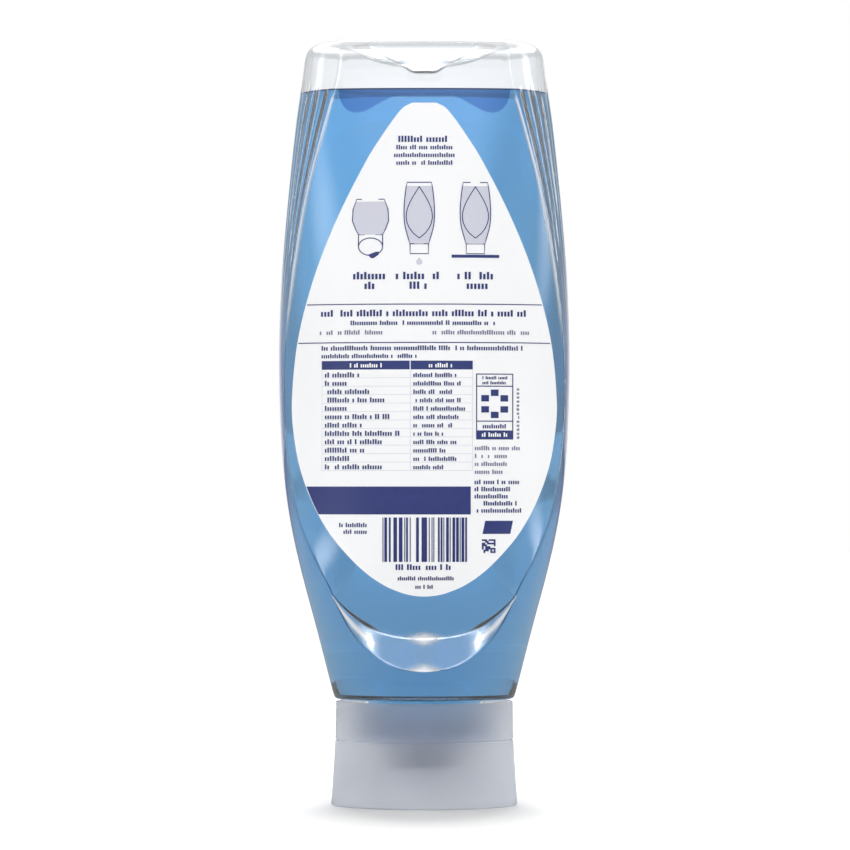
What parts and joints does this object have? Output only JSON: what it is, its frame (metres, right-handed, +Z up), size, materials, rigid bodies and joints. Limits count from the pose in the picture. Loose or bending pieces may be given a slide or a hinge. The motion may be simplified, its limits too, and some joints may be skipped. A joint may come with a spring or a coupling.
{
  "type": "dish soap bottle",
  "caption": "Clear oval squeeze bottle of blue dish soap with a teardrop label, standing upside down on a round frosted screw cap.",
  "frame": {"origin": "centre of the cap's foot ring, on the surface that the bottle stands on", "axes": "+Z up along the bottle, from the cap to the bottle's base; the label faces -Y; +X to the right of the label"},
  "size_m": [0.088, 0.06, 0.23],
  "materials": {
    "clear_pet": "clear gloss blown PET",
    "blue_soap": "clear blue liquid",
    "label_film": "white film with navy print",
    "frosted_polypropylene": "natural frosted polypropylene",
    "gasket_foam": "closed cell foam",
    "silicone": "clear silicone",
    "white_polypropylene": "moulded satin",
    "foil": "satin foil laminate"
  },
  "bodies": {
    "cap": {"cap": "frosted_polypropylene", "valve": "silicone", "valve_retainer": "white_polypropylene", "peel_seal": "foil"},
    "gasket": {"gasket": "gasket_foam"},
    "bottle": {"bottle": "clear_pet", "liquid": "blue_soap", "label": "label_film"}
  },
  "joints": [
    {"name": "unscrew", "type": "hinge", "parent": "cap", "child": "gasket", "pos_m": [0, 0, 0.0187], "axis": [0, 0, 1], "range_deg": [0, 540]},
    {"name": "thread_lift", "type": "slide", "parent": "gasket", "child": "bottle", "axis": [0, 0, 1], "range_m": [0, 0.0064]}
  ],
  "couplings": [
    {"joint": "thread_lift", "follows": "unscrew", "m_per_rad": 0.00066845}
  ]
}
